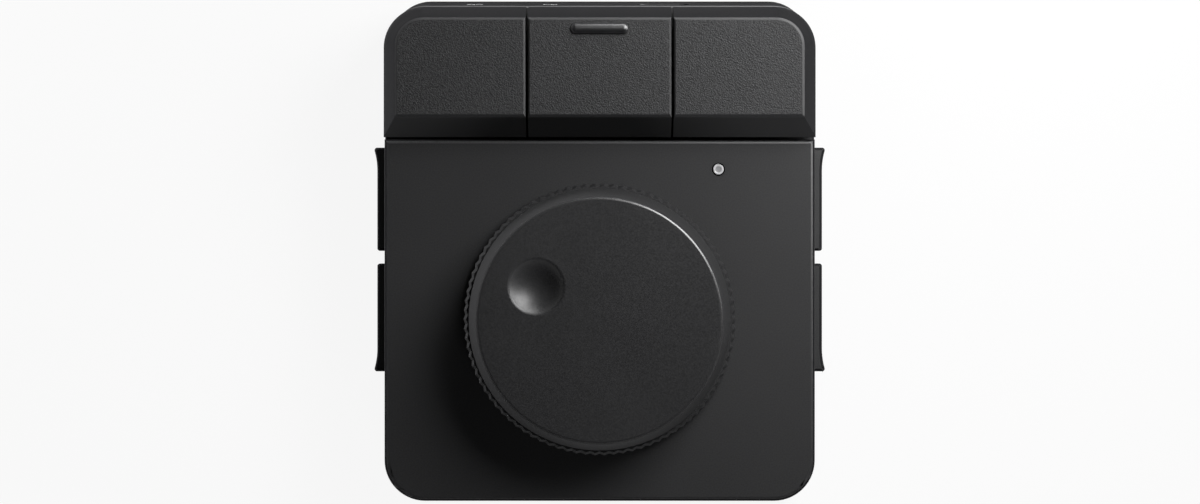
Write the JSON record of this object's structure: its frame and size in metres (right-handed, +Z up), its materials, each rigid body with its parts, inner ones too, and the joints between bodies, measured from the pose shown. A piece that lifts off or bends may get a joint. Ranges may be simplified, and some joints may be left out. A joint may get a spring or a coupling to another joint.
{
  "type": "macro controller",
  "caption": "Black desk controller with wide keys behind a knurled dial, buttons on both sides, a slide switch and a USB-C port at the rear",
  "frame": {"origin": "on the desk under the middle of the case, level with the undersides of the feet", "axes": "+X to the right, +Y to the rear where the port is, +Z up"},
  "size_m": [0.078, 0.0874, 0.03],
  "materials": {
    "housing_plastic": "fine moulded grain",
    "key_plastic": "fine moulded grain",
    "dial_metal": "black anodised, matt",
    "button_plastic": "smooth satin",
    "foot_rubber": "matt",
    "screw_steel": "zinc plated",
    "board_laminate": "solder mask",
    "part_black": "moulded",
    "plunger_white": "moulded",
    "cast_zinc": "die cast",
    "socket_steel": "bright",
    "cell_foil": "foil pouch",
    "tape_foam": "foam",
    "lens_clear": "diffuse",
    "wire_red": "insulation"
  },
  "bodies": {
    "base": {"bottom_cover": "housing_plastic", "housing": "housing_plastic", "rubber_feet": "foot_rubber", "case_screws": "screw_steel", "main_pcb": "board_laminate", "controller_chip": "part_black", "radio_module": "socket_steel", "status_led": "lens_clear", "status_light_pipe": "lens_clear", "key_switch_bodies": "part_black", "encoder_body": "cast_zinc", "encoder_nut": "screw_steel", "side_switch_bodies": "part_black", "usb_c_shell": "socket_steel", "usb_c_tongue": "part_black", "power_switch_body": "socket_steel", "battery_cell": "cell_foil", "battery_tape": "tape_foam", "battery_connector": "plunger_white", "battery_lead": "wire_red"},
    "key_left_body": {"key_left": "key_plastic", "key_plunger_left": "plunger_white"},
    "key_middle_body": {"key_middle": "key_plastic", "key_plunger_middle": "plunger_white"},
    "key_right_body": {"key_right": "key_plastic", "key_plunger_right": "plunger_white"},
    "dial_carrier": {"encoder_push_pin": "plunger_white"},
    "dial": {"dial_knob": "dial_metal", "encoder_shaft": "screw_steel"},
    "side_left_rear": {"side_button_left_rear": "button_plastic", "side_plunger_left_rear": "plunger_white"},
    "side_left_front": {"side_button_left_front": "button_plastic", "side_plunger_left_front": "plunger_white"},
    "side_right_rear": {"side_button_right_rear": "button_plastic", "side_plunger_right_rear": "plunger_white"},
    "side_right_front": {"side_button_right_front": "button_plastic", "side_plunger_right_front": "plunger_white"},
    "power_knob": {"power_slider": "button_plastic"}
  },
  "joints": [
    {"name": "key_left_press", "type": "slide", "parent": "base", "child": "key_left_body", "axis": [0, 0, -1], "range_m": [0, 0.0015], "stiffness_N_per_m": 250, "springref_m": -0.0015},
    {"name": "key_middle_press", "type": "slide", "parent": "base", "child": "key_middle_body", "axis": [0, 0, -1], "range_m": [0, 0.0015], "stiffness_N_per_m": 250, "springref_m": -0.0015},
    {"name": "key_right_press", "type": "slide", "parent": "base", "child": "key_right_body", "axis": [0, 0, -1], "range_m": [0, 0.0015], "stiffness_N_per_m": 250, "springref_m": -0.0015},
    {"name": "dial_press", "type": "slide", "parent": "base", "child": "dial_carrier", "axis": [0, 0, -1], "range_m": [0, 0.0005], "stiffness_N_per_m": 2000, "springref_m": -0.001},
    {"name": "dial_turn", "type": "hinge", "parent": "dial_carrier", "child": "dial", "pos_m": [0, -0.0124, 0.019], "axis": [0, 0, 1], "continuous": true},
    {"name": "side_left_rear_press", "type": "slide", "parent": "base", "child": "side_left_rear", "axis": [1, 0, 0], "range_m": [0, 0.0006], "stiffness_N_per_m": 800, "springref_m": -0.001},
    {"name": "side_left_front_press", "type": "slide", "parent": "base", "child": "side_left_front", "axis": [1, 0, 0], "range_m": [0, 0.0006], "stiffness_N_per_m": 800, "springref_m": -0.001},
    {"name": "side_right_rear_press", "type": "slide", "parent": "base", "child": "side_right_rear", "axis": [-1, 0, 0], "range_m": [0, 0.0006], "stiffness_N_per_m": 800, "springref_m": -0.001},
    {"name": "side_right_front_press", "type": "slide", "parent": "base", "child": "side_right_front", "axis": [-1, 0, 0], "range_m": [0, 0.0006], "stiffness_N_per_m": 800, "springref_m": -0.001},
    {"name": "power_slide", "type": "slide", "parent": "base", "child": "power_knob", "axis": [1, 0, 0], "range_m": [-0.002, 0]}
  ]
}
